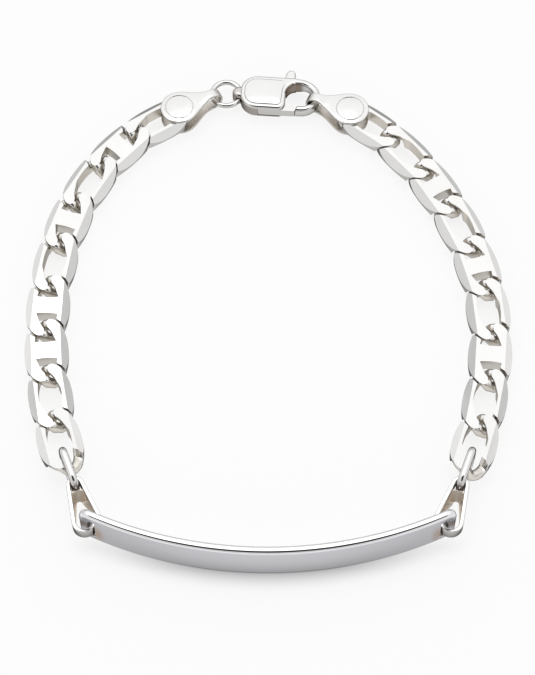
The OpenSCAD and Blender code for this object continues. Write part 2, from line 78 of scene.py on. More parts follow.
def silver(name, level_tone, painted_wall_shade, painted_inner_shade, roughness, cloud=0.02, satin=False):
    """Polished silver: painted bright on faces that look up or down and painted grey shade on upright
    walls, as if lit from above, a faint cloudiness in its colour, hairline wear in its gloss, and
    a painted warm shade with duller gloss on inner walls, where a mesh marks them with its "inside"
    attribute."""
    metal = bpy.data.materials.new(name)
    metal.use_nodes = True
    tree = metal.node_tree
    place = added(tree, "ShaderNodeTexCoord")
    haze = added(tree, "ShaderNodeTexNoise",
                 {"Vector": place.outputs["Object"], "Scale": 330.0, "Detail": 3.0})
    tone = added(tree, "ShaderNodeValToRGB", {"Fac": haze.outputs["Fac"]})
    for stop, at, share in zip(tone.color_ramp.elements, (0.3, 0.7), (1 - cloud, 1 + cloud)):
        stop.position = at
        stop.color = [min(1, c * share) for c in level_tone] + [1]
    facing = added(tree, "ShaderNodeSeparateXYZ", {"Vector": place.outputs["Normal"]})
    level = added(tree, "ShaderNodeMath", {0: facing.outputs["Z"]}, operation="ABSOLUTE")
    reach = added(tree, "ShaderNodeMapRange",
                  {"Value": level.outputs["Value"], "From Min": 0.2, "From Max": 0.95},
                  interpolation_type="SMOOTHSTEP")
    # painted shade: upright walls take the darker wall tone, as if lit from above
    painted_facing_shade = added(tree, "ShaderNodeMix",
                     {"Factor": reach.outputs["Result"], "A": [*painted_wall_shade, 1],
                      "B": tone.outputs["Color"]}, data_type="RGBA")
    mark = added(tree, "ShaderNodeAttribute", attribute_name="inside")
    # painted warm shade, with duller gloss, where a mesh marks inner walls
    base = added(tree, "ShaderNodeMix",
                 {"Factor": mark.outputs["Fac"], "A": painted_facing_shade.outputs["Result"],
                  "B": [*painted_inner_shade, 1]}, data_type="RGBA")
    stretch, fineness, relief = (1.0, 1.0, 1.0), 2600.0, 0.03
    if satin:
        stretch, fineness, relief = (0.05, 0.05, 1.0), 5200.0, 0.12
    along_grain = added(tree, "ShaderNodeMapping",
                        {"Vector": place.outputs["Object"], "Scale": stretch})
    grain = added(tree, "ShaderNodeTexNoise",
                  {"Vector": along_grain.outputs["Vector"], "Scale": fineness, "Detail": 2.0})
    gloss = added(tree, "ShaderNodeMapRange",
                  {"Value": grain.outputs["Fac"], "To Min": roughness - WEAR,
                   "To Max": roughness + WEAR})
    dull = added(tree, "ShaderNodeMix",
                 {"Factor": mark.outputs["Fac"], "A": gloss.outputs["Result"], "B": UNPOLISHED})
    rough = dull.outputs["Result"]
    if satin:
        rim = added(tree, "ShaderNodeMapRange",
                    {"Value": level.outputs["Value"], "From Min": 0.05, "From Max": 0.25,
                     "To Min": 1.0, "To Max": 0.25})
        bright_rim = added(tree, "ShaderNodeMath", {0: rough, 1: rim.outputs["Result"]},
                           operation="MULTIPLY")
        rough = bright_rim.outputs["Value"]
    bump = added(tree, "ShaderNodeBump",
                 {"Strength": relief, "Distance": 0.00002, "Height": grain.outputs["Fac"]})
    shader = tree.nodes["Principled BSDF"]
    shader.inputs["Metallic"].default_value = 1.0
    shader.inputs["Specular Tint"].default_value = (0.15, 0.15, 0.15, 1)
    for socket, source in (("Base Color", base.outputs["Result"]), ("Roughness", rough),
                           ("Normal", bump.outputs["Normal"])):
        tree.links.new(source, shader.inputs[socket])
    return metal


def arc(x, y, r, start, end, steps=10):
    """Points at r round (x, y) from one angle to another, in degrees."""
    angles = [math.radians(start + (end - start) * k / steps) for k in range(steps + 1)]
    return [(x + r * math.cos(a), y + r * math.sin(a)) for a in angles]


def rounded_box(length, width, corner, steps=8):
    """Outline of a rectangle with round corners, counter-clockwise, in mm."""
    x, y = length / 2 - corner, width / 2 - corner
    return (arc(x, y, corner, 0, 90, steps) + arc(-x, y, corner, 90, 180, steps)
            + arc(-x, -y, corner, 180, 270, steps) + arc(x, -y, corner, 270, 360, steps))


def directions(outline):
    """The unit direction of a closed outline at each of its points."""
    points = np.array(outline, float)
    step = np.roll(points, -1, 0) - np.roll(points, 1, 0)
    return step / np.linalg.norm(step, axis=1)[:, None]


def drawn_in(outline, depth):
    """The outline moved inwards by depth."""
    return [(x - depth * dy, y + depth * dx) for (x, y), (dx, dy) in zip(outline, directions(outline))]


def lofted(rings, closed=False):
    """A solid through rings of points, joined end to end or with flat ends."""
    bm = bmesh.new()
    rings = [[bm.verts.new(point) for point in ring] for ring in rings]
    for near, far in zip(rings, rings[1:] + rings[:1] if closed else rings[1:]):
        for i in range(len(near)):
            j = (i + 1) % len(near)
            bm.faces.new((near[i], near[j], far[j], far[i]))
    if not closed:
        bm.faces.new(list(reversed(rings[0])))
        bm.faces.new(rings[-1])
    return bm


def slab(outline, low, high, edge, steps=3):
    """Flat solid of that outline from low to high, its edges rounded by edge, in mm."""
    turns = [math.pi / 2 * k / steps for k in range(steps + 1)]
    upper = [(edge * (1 - math.cos(t)), high - edge + edge * math.sin(t)) for t in turns]
    levels = [(d, low + high - z) for d, z in reversed(upper)] + upper
    return lofted([[(x, y, z) for x, y in drawn_in(outline, d)] for d, z in levels])


def mesh_of(bm, name, scale=MM):
    """The finished mesh: in metres, outward, smooth but for its real edges."""
    bmesh.ops.recalc_face_normals(bm, faces=bm.faces)
    for f in bm.faces:
        f.smooth = True
    for e in bm.edges:
        e.smooth = (len(e.link_faces) == 2 and e.calc_face_angle(0) < SHARP
                    and e.link_faces[0].material_index == e.link_faces[1].material_index)
    for f in bm.faces:
        f.material_index = 0
    bmesh.ops.scale(bm, vec=(scale,) * 3, verts=bm.verts)
    mesh = bpy.data.meshes.new(name)
    bm.to_mesh(mesh)
    bm.free()
    return mesh


def carved(mesh, *cutters, how="DIFFERENCE"):
    """The mesh less each cutter, or joined to it, or ground down to what is inside it."""
    body = bpy.data.objects.new("blank", mesh)
    scene.collection.objects.link(body)
    tools = []
    for cutter in cutters:
        tool = bpy.data.objects.new("cutter", cutter)
        scene.collection.objects.link(tool)
        cut = body.modifiers.new("cut", "BOOLEAN")
        cut.operation, cut.object, cut.solver = how, tool, "EXACT"
        tools.append(tool)
    depsgraph = bpy.context.evaluated_depsgraph_get()
    done = bpy.data.meshes.new_from_object(body.evaluated_get(depsgraph))
    for o in [body] + tools:
        bpy.data.objects.remove(o)
    bm = bmesh.new()
    bm.from_mesh(done)
    bmesh.ops.remove_doubles(bm, verts=bm.verts, dist=1e-7)
    return mesh_of(bm, mesh.name, 1.0)


def sliced(bm, axis, places):
    """Cuts the flat solid into strips at these places along an axis, so that it can bend."""
    for place in places:
        at, across = Vector(), Vector()
        at[axis], across[axis] = place, 1
        bmesh.ops.bisect_plane(bm, geom=bm.verts[:] + bm.edges[:] + bm.faces[:],
                               plane_co=at, plane_no=across, dist=1e-5)


def moved(bm, place):
    """Moves each point (x, y, z) to place(x, y, z), both in mm."""
    for v in bm.verts:
        v.co = place(*v.co)
    return bm


def marked(mesh, domain, inside):
    """Marks painted shade and what the polishing wheel doesn't reach: inside(at, facing) gives 0 to 1
    for each face or point of the mesh, from its place in mm and its normal."""
    mark = mesh.attributes.new("inside", "FLOAT", domain)
    for part in mesh.polygons if domain == "FACE" else mesh.vertices:
        at = part.center if domain == "FACE" else part.co
        mark.data[part.index].value = inside(at / MM, part.normal)
    return mesh


def piece(name, mesh, material, slot, *nodes, body="bracelet"):
    """A finished piece of the bracelet, which stands for these solids."""
    blank = bpy.data.objects.new(name + "_blank", mesh)
    scene.collection.objects.link(blank)
    even = blank.modifiers.new("even", "WEIGHTED_NORMAL")
    even.keep_sharp = True
    mesh = bpy.data.meshes.new_from_object(
        blank.evaluated_get(bpy.context.evaluated_depsgraph_get()))
    bpy.data.objects.remove(blank)
    obj = bpy.data.objects.new(name, mesh)
    scene.collection.objects.link(obj)
    mesh.materials.clear()
    mesh.materials.append(material)
    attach(obj, body)
    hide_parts(*nodes)


low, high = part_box("id_plate")
plate_x, plate_y = (low.x + high.x) / 2 / MM, low.y / MM + PLATE_BEND
plate_r = PLATE_BEND - PLATE_T / 2


def on_the_bend(s, z, t):
    """The point s along the bent plate from its middle, z above that and t out from its core."""
    a = s / plate_r
    r = plate_r + t
    return Vector((plate_x + r * math.sin(a), plate_y - r * math.cos(a), z + PLATE_H / 2))


def dull_painted_bail_reflection(at, facing):
    """A painted warm reflection of the bail, with duller gloss, on the plate beside each bail."""
    s = abs(math.atan2(at.x - plate_x, plate_y - at.y)) * plate_r
    near = max(0.0, 1 - abs(s - PLATE_LEN / 2 + SHADE_IN) / SHADE_HALF_W)
    return near * max(0.0, 1 - abs(at.z - SHADE_Z) / SHADE_HALF_H)


strip = slab(rounded_box(PLATE_LEN, PLATE_H, PLATE_CORNER), -PLATE_T / 2, PLATE_T / 2, PLATE_EDGE, 7)
sliced(strip, 0, np.arange(PLATE_STEP - PLATE_LEN / 2, PLATE_LEN / 2, PLATE_STEP))
sliced(strip, 1, np.arange(-2.4, 2.5, 0.6))
slots = []
for hand in (-1, 1):
    cut = slab(rounded_box(SLOT_W, SLOT_H, SLOT_W / 2 - 0.001), -PLATE_T, PLATE_T, 0.05)
    slot_at = hand * (PLATE_LEN / 2 - SLOT_BAR - SLOT_W / 2)
    slots.append(mesh_of(moved(cut, lambda x, y, z: on_the_bend(slot_at + x, y, z)), "slot"))
plate = carved(mesh_of(moved(strip, on_the_bend), "name_plate"), *slots)
# painted shade on the plate's upright face, and a painted warm reflection of each bail beside it
plate_metal = silver("plate_silver", (0.95, 0.95, 0.95), (0.84, 0.84, 0.87), (0.62, 0.47, 0.35),
                     0.24, cloud=0.03, satin=True)
piece("name_plate", marked(plate, "POINT", dull_painted_bail_reflection), plate_metal, "plate_silver", "id_plate")

# Bails
# A tapered loop of flat silver strip on each end of the plate. It goes through the slot and
# round the plate's end bar, and is soldered shut. Inside it a wall slopes in all round to a
# smaller hole underneath.
BAIL_LEN, BAIL_WIDE, BAIL_NARROW = 7.45, 2.96, 2.15
BAIL_BACK, BAIL_TURN, BAIL_LEAN, BAIL_PLAY = 1.15, 0.75, 15.0, 0.04
STRIP_T, STRIP_W, STRIP_ROUND = 0.5, 1.65, 0.13
BRIDGE_X, BRIDGE_T, BRIDGE_FOOT, BRIDGE_DOWN = 4.22, 0.4, 0.6, 0.42
RIM_R, FOOT_R, BACK_R = 1.4, 0.3, 0.12


def lie_of(node, top_only=False):
    """Where a solid lies: its centre of surface, its long direction, and how far it reaches
    back and ahead along that direction from the centre, in mm. Ahead is towards the clasp."""
    mesh = frame["nodes"][node].data
    co = np.array([v.co for v in mesh.vertices], float) / MM
    tri = co[np.array([p.vertices[:3] for p in mesh.polygons])]
    area = np.linalg.norm(np.cross(tri[:, 1] - tri[:, 0], tri[:, 2] - tri[:, 0]), axis=1) / 2
    if top_only:
        area = area * (tri[:, :, 2].min(1) > co[:, 2].max() - 0.01)
    centre = (area[:, None] * tri.mean(1)).sum(0) / area.sum()
    t = tri - centre
    s = t.sum(1)
    spread = sum(np.einsum("t,ti,tj->ij", area, t[:, k], t[:, k]) for k in range(3))
    spread += np.einsum("t,ti,tj->ij", area, s, s)
    long = np.linalg.eigh(spread)[1][:, 2]
    long = long * (1 if long[1] > 0 else -1)
    reach = (co - centre) @ long
    return centre, long, reach.min(), reach.max()


def along(node, top_only=False):
    """The same for a piece that lies flat: its long direction is level."""
    centre, long, back, ahead = lie_of(node, top_only)
    return centre, long / np.hypot(long[0], long[1]), back, ahead


def swept(centres, outs, sections, up=Vector((0, 0, 1)), closed=True):
    """A solid made by carrying a section along a path. Each section is points (out, up)."""
    rings = [[centre + float(a) * out + float(b) * up for a, b in section]
             for centre, out, section in zip(centres, outs, sections)]
    return lofted(rings, closed)


def level(points):
    """These points of a flat outline, in space."""
    return [Vector((x, y, 0)) for x, y in points]


def ramp(x, start, end):
    """A smooth step from 0 at start to 1 at end."""
    t = min(1.0, max(0.0, (x - start) / (end - start)))
    return t * t * (3 - 2 * t)


def belt(spots, radii, steps=12):
    """Path round three circles: its points and its outward directions, counter-clockwise."""
    points, outs = [], []
    for i in range(3):
        ways = []
        for here, there in ((i - 1, i), (i, (i + 1) % 3)):
            way = spots[there] - spots[here]
            lean = math.acos((radii[here] - radii[there]) / np.linalg.norm(way))
            ways.append(math.atan2(way[1], way[0]) - lean)
        turn = (ways[1] - ways[0]) % (2 * math.pi)
        for a in ways[0] + turn * np.arange(steps + 1) / steps:
            outs.append((math.cos(a), math.sin(a)))
            points.append(spots[i] + radii[i] * np.array(outs[-1]))
    return np.array(points), np.array(outs)


def lying(origin, long):
    """Turns a shape drawn along x to lie at origin along a level direction."""
    c, s = long[0], long[1]

    def lie(x, y, z):
        return Vector((origin[0] + c * x - s * y, origin[1] + s * x + c * y, origin[2] + z))
    return lie


def placed(mesh, lie):
    """The finished mesh in its place, which lie gives in mm."""
    for v in mesh.vertices:
        v.co = lie(*(v.co / MM)) * MM
    return mesh


seat = SLOT_BAR + SLOT_W / 2 - (BAIL_WIDE - STRIP_T) / 2 + BAIL_PLAY
bail_turn = (PLATE_LEN / 2 - seat) / plate_r + math.radians(BAIL_LEAN)
bail_cos, bail_sin = math.cos(bail_turn), math.sin(bail_turn)
back_y = BAIL_WIDE / 2 - BAIL_TURN
wide_end = np.array([0.0, 0.0])
narrow_end = np.array([BAIL_LEN - BAIL_WIDE / 2 - BAIL_NARROW / 2, 0.0])
back_end = np.array([BAIL_BACK * bail_cos - back_y * bail_sin, BAIL_BACK * bail_sin + back_y * bail_cos])
web_top = STRIP_W / 2 - BRIDGE_DOWN


def round_bail(depth):
    """The bail's path this deep inside its outer face: points and outward directions."""
    return belt([wide_end, narrow_end, back_end],
                [BAIL_WIDE / 2 - depth, BAIL_NARROW / 2 - depth, BAIL_TURN - depth])


def bail_strip():
    """The closed loop of strip."""
    points, outs = round_bail(STRIP_T / 2)
    section = rounded_box(STRIP_T, STRIP_W, STRIP_ROUND, 4)
    return mesh_of(swept(level(points), level(outs), [section] * len(points)), "bail_loop")


def bail_wall():
    """The sloping wall inside it: a web across the loop with a funnel taken out of it."""
    web = slab(round_bail(STRIP_T - 0.05)[0], -STRIP_W / 2 + 0.02, web_top, 0.01, 1)
    span = slab([(-3, -3), (BRIDGE_X, -3), (BRIDGE_X, 3), (-3, 3)], -3, 3, 0.01, 1)
    rim, _ = belt([wide_end, np.array([BRIDGE_X - RIM_R - 0.02, 0.1]), back_end],
                  [BAIL_WIDE / 2 - STRIP_T + 0.03, RIM_R, BAIL_TURN - STRIP_T + 0.03])
    foot, _ = belt([wide_end, np.array([BRIDGE_X - BRIDGE_T - BRIDGE_FOOT - FOOT_R, 0]), back_end],
                   [BAIL_WIDE / 2 - STRIP_T + 0.02, FOOT_R, BACK_R])
    funnel = lofted([[(x, y, -STRIP_W / 2 - 0.05) for x, y in foot],
                     [(x, y, web_top + 0.01) for x, y in rim]])
    web = carved(mesh_of(web, "web"), mesh_of(span, "span"), how="INTERSECT")
    return carved(web, mesh_of(funnel, "funnel"))


bail_inner = round_bail(STRIP_T * 0.7)[0]
bail_sides = np.roll(bail_inner, -1, 0) - bail_inner


def dull_painted_shade_in_bail(at, facing):
    """1 within the loop, below its rim: painted shade and duller gloss."""
    off = np.array(at[:2]) - bail_inner
    within = (bail_sides[:, 0] * off[:, 1] - bail_sides[:, 1] * off[:, 0]).min() > -0.01
    return 1.0 if within and at.z < STRIP_W / 2 - 0.06 else 0.0


# painted shade on upright walls, and a painted warm shade inside the bail's loop
bail_metal = silver("bail_silver", (0.95, 0.945, 0.935), (0.55, 0.54, 0.525), (0.84, 0.755, 0.655), 0.10)
bail = marked(carved(bail_strip(), bail_wall(), how="UNION"), "FACE", dull_painted_shade_in_bail)
for side, hand in (("left", -1), ("right", 1)):
    low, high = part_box("bail_" + side)
    seat_at = on_the_bend(hand * (PLATE_LEN / 2 - seat), 0, 0)
    lean = math.radians(90 - hand * BAIL_LEAN)
    lie = lying((seat_at.x, seat_at.y, (low.z + high.z) / 2 / MM), (math.cos(lean), math.sin(lean)))
    loop = placed(bail.copy(), lambda x, y, z: lie(x, hand * y, z))
    if hand < 0:
        loop.flip_normals()
    piece("bail_loop_" + side, loop, bail_metal, "chain_silver", "bail_" + side)

# Oval links
# An oval of round silver wire stands upright at each end of the chain. It joins the bail,
# which is upright too, to the flat chain.
OVAL_WIRE, OVAL_OPEN_H, OVAL_OPEN_LEN, OVAL_CORNER = 0.95, 2.2, 3.85, 0.6


def circle(radius, steps=24):
    """Points round a circle, counter-clockwise."""
    return [(radius * math.cos(a), radius * math.sin(a))
            for a in np.linspace(0, 2 * math.pi, steps, endpoint=False)]


oval = rounded_box(OVAL_OPEN_LEN + OVAL_WIRE, OVAL_OPEN_H + OVAL_WIRE, OVAL_CORNER + OVAL_WIRE / 2, 10)
for side in ("left", "right"):
    centre, long, back, ahead = along("oval_link_" + side)
    middle = centre + (back + ahead) / 2 * long
    wire = swept([Vector((x, 0, z)) for x, z in oval],
                 [Vector((dz, 0, -dx)) for dx, dz in directions(oval)],
                 [circle(OVAL_WIRE / 2)] * len(oval), up=Vector((0, 1, 0)))
    wire = mesh_of(moved(wire, lying((middle[0], middle[1], centre[2]), long)), "oval_wire")
    piece("oval_wire_" + side, wire, bail_metal, "chain_silver", "oval_link_" + side)

# Chain
# Eighteen flat links of thick silver wire. Each wire rises over one neighbour and dives under
# the next, and the finished chain is ground flat above and below and bevelled along both
# sides. Seven links have a flat bar soldered across, level with their faces.
LINK_LEN, LINK_W, LINK_T = 9.05, 5.45, 2.0
HOLE_LEN, HOLE_W = 6.65, 2.85
BEVEL_W, SIDE_BAND, OVAL_POWER = 0.9, 0.3, 2.25
WIRE_END, WIRE_OVER, WIRE_SWELL, WIRE_DIVE, WIRE_BACK = 0.96, 0.37, 0.25, 1.08, 1.70
BAR_LEN, BAR_HOLLOW = 2.5, 0.15
BARRED = {"link_" + n for n in ("l7", "l6", "l4", "l2", "r7", "r5", "r3")}
ground_z = LINK_T / 2
shoulder = LINK_W / 2 - BEVEL_W
bevel_h = ground_z - SIDE_BAND / 2
bevel_out = Vector((bevel_h, BEVEL_W)).normalized()


def power(x, n):
    return math.copysign(abs(x) ** n, x)


def bowed(turn, half_x, half_y, roundness):
    """A point of an oval, which is the squarer the higher its roundness, turn round it."""
    return np.array([half_x * power(math.cos(turn), 2 / roundness),
                     half_y * power(math.sin(turn), 2 / roundness)])


def wire_top(t):
    """Height of the unground wire at t degrees round from a link's end, where t is above 0
    on the side that passes over the next link and below 0 where it passes under."""
    if t >= 0:
        return WIRE_END + WIRE_OVER * ramp(t, 0, 16) + WIRE_SWELL * ramp(t, 55, 85)
    return WIRE_END - WIRE_DIVE * ramp(-t, 0, 22) + WIRE_BACK * ramp(-t, 50, 63)


def wire_ring(degrees):
    """The wire's outline where it is cut across, this far round the link."""
    turn = math.radians(degrees)
    t = abs((degrees + 90) % 180 - 90)
    over = 1 if (degrees % 180) > 90 else -1
    pointed = OVAL_POWER - 0.7 * ramp(over * t, -2, 12) * (1 - ramp(t, 60, 85))
    outer = bowed(turn, LINK_LEN / 2, LINK_W / 2, OVAL_POWER)
    inner = bowed(turn, HOLE_LEN / 2, HOLE_W / 2, pointed)
    top, under = wire_top(over * t), -wire_top(-over * t)
    squareness = 2.6 + 2.4 * ramp(t, 40, 58)
    ring = []
    for f in np.radians(np.arange(0, 360, 12.0)):
        across, height = bowed(f, 1, (top - under) / 2, squareness)
        x, y = (inner + outer) / 2 + (outer - inner) / 2 * across
        ring.append((x, y, (top + under) / 2 + height))
    return ring


def link_bar():
    """The flat bar across a link, with hollow ends."""
    half_w = HOLE_W / 2 + 0.1
    r = (half_w ** 2 + BAR_HOLLOW ** 2) / (2 * BAR_HOLLOW)
    sweep = math.asin(half_w / r)
    hollow = [(BAR_LEN / 2 - BAR_HOLLOW + r - r * math.cos(t), r * math.sin(t))
              for t in np.linspace(-sweep, sweep, 13)]
    outline = hollow + [(-x, -y) for x, y in hollow]
    return mesh_of(slab(outline, -ground_z - 0.05, ground_z + 0.05, 0.02, 1), "link_bar")


def ground_stock():
    """What the grinding leaves: flat above and below, and bevelled along both sides."""
    brim = LINK_W / 2 + SIDE_BAND / 2 * BEVEL_W / bevel_h
    stock = slab([(brim, 0), (shoulder, ground_z), (-shoulder, ground_z), (-brim, 0),
                  (-shoulder, -ground_z), (shoulder, -ground_z)], -LINK_LEN, LINK_LEN, 0.001, 1)
    return mesh_of(moved(stock, lambda x, y, z: Vector((z, x, y))), "ground_stock")


def link_blank(barred):
    """One link before placing: the bent wire, ground flat and bevelled."""
    wire = mesh_of(lofted([wire_ring(a) for a in np.arange(0, 360, 3.0)], closed=True), "link_wire")
    if barred:
        wire = carved(wire, link_bar(), how="UNION")
    bm = bmesh.new()
    bm.from_mesh(carved(wire, ground_stock(), how="INTERSECT"))
    # the edges of the ground faces stay sharp
    for f in bm.faces:
        y, z = abs(f.calc_center_median().y) / MM, abs(f.calc_center_median().z) / MM
        on_bevel = Vector((y - shoulder, z - ground_z)).dot(bevel_out)
        f.material_index = 1 if min(abs(z - ground_z), abs(on_bevel)) < 0.002 else 0
    return mesh_of(bm, "link", 1.0)


def dull_painted_shade_in_link(at, facing):
    """Painted shade and duller gloss on the walls of the hole, the bar's ends and the wire between two
    links.
    """
    out = Vector((at.x / LINK_LEN ** 2, at.y / LINK_W ** 2, 0)).normalized()
    wall = max(0.0, 1 - facing.z ** 2) * ramp(-facing.dot(out), 0.0, 0.5)
    bar = under = 0.0
    if abs(at.x) < BAR_LEN / 2 + 0.02 and abs(at.y) < HOLE_W / 2 and abs(facing.x) > 0.7:
        bar = 0.6
    if abs(at.y) < shoulder:
        below_face = ramp(-abs(at.z), 0.05 - ground_z, 0.3 - ground_z)
        under = 0.9 * ramp(abs(at.x), HOLE_LEN / 2 - 1.6, HOLE_LEN / 2 - 0.4) * below_face
    return max(wall, bar, under)


def chain_tree(open_link, barred_link, metal):
    """Puts a link on each point, turned as the point says, barred or open."""
    tree = bpy.data.node_groups.new("chain", "GeometryNodeTree")
    face = tree.interface
    face.new_socket("Places", in_out="INPUT", socket_type="NodeSocketGeometry")
    for name, kind, value in (("Open link", "Object", open_link),
                              ("Barred link", "Object", barred_link), ("Silver", "Material", metal)):
        socket = face.new_socket(name, in_out="INPUT", socket_type="NodeSocket" + kind)
        socket.default_value = value
    face.new_socket("Chain", in_out="OUTPUT", socket_type="NodeSocketGeometry")
    given = added(tree, "NodeGroupInput")
    turn = added(tree, "GeometryNodeInputNamedAttribute", {"Name": "turn"}, data_type="FLOAT_VECTOR")
    bar = added(tree, "GeometryNodeInputNamedAttribute", {"Name": "barred"}, data_type="BOOLEAN")
    plain = added(tree, "FunctionNodeBooleanMath", {0: bar.outputs["Attribute"]}, operation="NOT")
    join = added(tree, "GeometryNodeJoinGeometry")
    for name, chosen in (("Open link", plain.outputs[0]), ("Barred link", bar.outputs["Attribute"])):
        source = added(tree, "GeometryNodeObjectInfo", {"Object": given.outputs[name]})
        put = added(tree, "GeometryNodeInstanceOnPoints",
                    {"Points": given.outputs["Places"], "Selection": chosen,
                     "Instance": source.outputs["Geometry"], "Rotation": turn.outputs["Attribute"]})
        tree.links.new(put.outputs["Instances"], join.inputs["Geometry"])
    real = added(tree, "GeometryNodeRealizeInstances", {"Geometry": join.outputs["Geometry"]})
    paint = added(tree, "GeometryNodeSetMaterial",
                  {"Geometry": real.outputs["Geometry"], "Material": given.outputs["Silver"]})
    added(tree, "NodeGroupOutput", {"Chain": paint.outputs["Geometry"]})
    return tree


# painted shade on upright walls, and a painted warm shade in the holes, on the bar's ends and between
# links
chain_metal = silver("chain_silver", (0.96, 0.955, 0.945), (0.56, 0.55, 0.535), (0.80, 0.76, 0.70), 0.10)
blanks = []
for name, barred in (("open_link", False), ("barred_link", True)):
    blank = bpy.data.objects.new(name, marked(link_blank(barred), "FACE", dull_painted_shade_in_link))
    scene.collection.objects.link(blank)
    blanks.append(blank)
links = [f"link_{side}{k}" for side in "lr" for k in range(9, 0, -1)]
places, turns = [], []
for name in links:
    centre, long, _, _ = lie_of(name)
    places.append(Vector(centre) * MM)
    turns.append((0, -math.asin(long[2]), math.atan2(long[1], long[0])))
points = bpy.data.meshes.new("chain")
points.from_pydata(places, [], [])
turn_of_each = points.attributes.new("turn", "FLOAT_VECTOR", "POINT")
turn_of_each.data.foreach_set("vector", np.ravel(turns))
which_barred = points.attributes.new("barred", "BOOLEAN", "POINT")
which_barred.data.foreach_set("value", [name in BARRED for name in links])
strung = bpy.data.objects.new("chain", points)
scene.collection.objects.link(strung)
chain = strung.modifiers.new("chain", "NODES")
chain.node_group = chain_tree(blanks[0], blanks[1], chain_metal)
chain_mesh = bpy.data.meshes.new_from_object(
    strung.evaluated_get(bpy.context.evaluated_depsgraph_get()))
for o in [strung] + blanks:
    bpy.data.objects.remove(o)
piece("chain_links", chain_mesh, chain_metal, "chain_silver", *links)

# End caps
# A teardrop tag of thin silver sheet, folded round the ring or the hook at its narrow end. Its
# two round leaves hold the last link between them on a small post, and a plain circle is
# stamped on each.
CAP_HEAD, CAP_LEN, CAP_NECK, CAP_H, LEAF_T = 4.9, 6.05, 1.3, 2.9, 0.35
LEAF_EDGE, LEAF_CROWN, STAMP_D, STAMP_R = 0.16, 0.13, 3.56, 0.07
head_r = CAP_HEAD / 2
fold_x = CAP_LEN - CAP_H / 2
fold_r = (CAP_H - LEAF_T) / 2
fold_end = math.pi * fold_r / 2
half_strip = fold_x + fold_end


def leaf_half_width(x):
    """Half width of a leaf at x mm from the middle of its head towards the fold."""
    turn = 0.32 * head_r
    if x <= turn:
        return math.sqrt(max(0.0, head_r * head_r - x * x))
    w = math.sqrt(head_r * head_r - turn * turn)
    slope = -turn / w * (fold_x - turn)
    t = min(1.0, (x - turn) / (fold_x - turn))
    return ((2 * t ** 3 - 3 * t ** 2 + 1) * w + (t ** 3 - 2 * t ** 2 + t) * slope
            + (3 * t ** 2 - 2 * t ** 3) * CAP_NECK / 2)


def flat_tag():
    """The tag's outline before it is folded, from the upper head to the lower one."""
    edge = [(-head_r * math.cos(t), head_r * math.sin(t)) for t in np.linspace(0, math.pi / 2, 15)]
    edge += [(x, leaf_half_width(x)) for x in np.linspace(0, fold_x, 22)[1:]]
    edge += [(half_strip, CAP_NECK / 2)]
    far_side = [(x - half_strip, w) for x, w in edge] + [(half_strip - x, w) for x, w in edge[-2::-1]]
    return far_side[::-1] + [(x, -w) for x, w in far_side[1:-1]]


def folded(s, y, t):
    """Bends the flat tag round its fold. s runs from the upper head to the lower one."""
    beyond = abs(s) - fold_end
    way = -1 if s < 0 else 1
    if beyond > 0:
        from_head = (fold_x - beyond) ** 2 * ramp(beyond, 0, 2.5) + y * y
        return Vector((fold_x - beyond, y, -way * (fold_r + t - LEAF_CROWN * from_head / head_r ** 2)))
    a = s / fold_r
    return Vector((fold_x + (fold_r + t) * math.cos(a), y, -(fold_r + t) * math.sin(a)))


def hoop(centre, radius, wire, steps):
    """A level ring of wire, given by its section."""
    ways = level(circle(1, steps))
    return swept([centre + radius * way for way in ways], ways, [wire] * steps)


def cap_tag(lie):
    """The folded tag with its two stamped circles."""
    tag = slab(flat_tag(), -LEAF_T / 2, LEAF_T / 2, LEAF_EDGE, 4)
    leaf_cuts = np.arange(fold_end + 0.3, half_strip + 2.4, 0.3)
    for cuts in (np.linspace(-fold_end, fold_end, 21), -leaf_cuts, leaf_cuts):
        sliced(tag, 0, cuts)
    sliced(tag, 1, np.arange(-2.1, 2.2, 0.3))
    grooves = [hoop(Vector((0, 0, way * (CAP_H / 2 - STAMP_R))), STAMP_D / 2, circle(STAMP_R, 8), 72)
               for way in (-1, 1)]
    return carved(mesh_of(moved(moved(tag, folded), lie), "tag"),
                  *[mesh_of(moved(groove, lie), "groove") for groove in grooves])


def cap_post(lie, lie_of_link):
    """The post in the last link's hole, no wider than the leaves' heads."""
    hole = [bowed(a, HOLE_LEN / 2 - 0.14, HOLE_W / 2 - 0.14, OVAL_POWER)
            for a in np.linspace(0, 2 * math.pi, 72, endpoint=False)]
    core = slab(hole, -CAP_H / 2 + LEAF_T * 0.6, CAP_H / 2 - LEAF_T * 0.6, 0.02)
    disc = slab(circle(head_r - 0.15, 64), -CAP_H / 2 + 0.05, CAP_H / 2 - 0.05, 0.02)
    return carved(mesh_of(moved(core, lie_of_link), "post"), mesh_of(moved(disc, lie), "disc"),
                  how="INTERSECT")


# painted shade on upright walls, and a painted warm shade between the leaves and on the post
cap_metal = silver("cap_silver", (0.89, 0.885, 0.87), (0.50, 0.49, 0.47), (0.70, 0.66, 0.61),
                   0.15, cloud=0.04)
for side in ("left", "right"):
    centre, long, back, ahead = along("end_cap_" + side, top_only=True)
    low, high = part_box("end_cap_" + side)
    head_x, head_y, _ = centre + (ahead - CAP_LEN) * long
    head_z = (low.z + high.z) / 2 / MM
    link_at, link_long, _, _ = along(f"link_{side[0]}1")
    lie = lying((head_x, head_y, head_z), long)
    post = cap_post(lie, lying((link_at[0], link_at[1], head_z), link_long))
    tag = carved(cap_tag(lie), post, how="UNION")
    # the post and the leaves' inner sides get painted shade and a duller gloss
    leaf_z = CAP_H / 2 - LEAF_T
    marked(tag, "POINT",
           lambda at, facing: 1 - ramp(abs(at.z - head_z), leaf_z - 0.02, leaf_z + 0.1))
    piece("cap_tag_" + side, tag, cap_metal, "cap_silver", "end_cap_" + side)

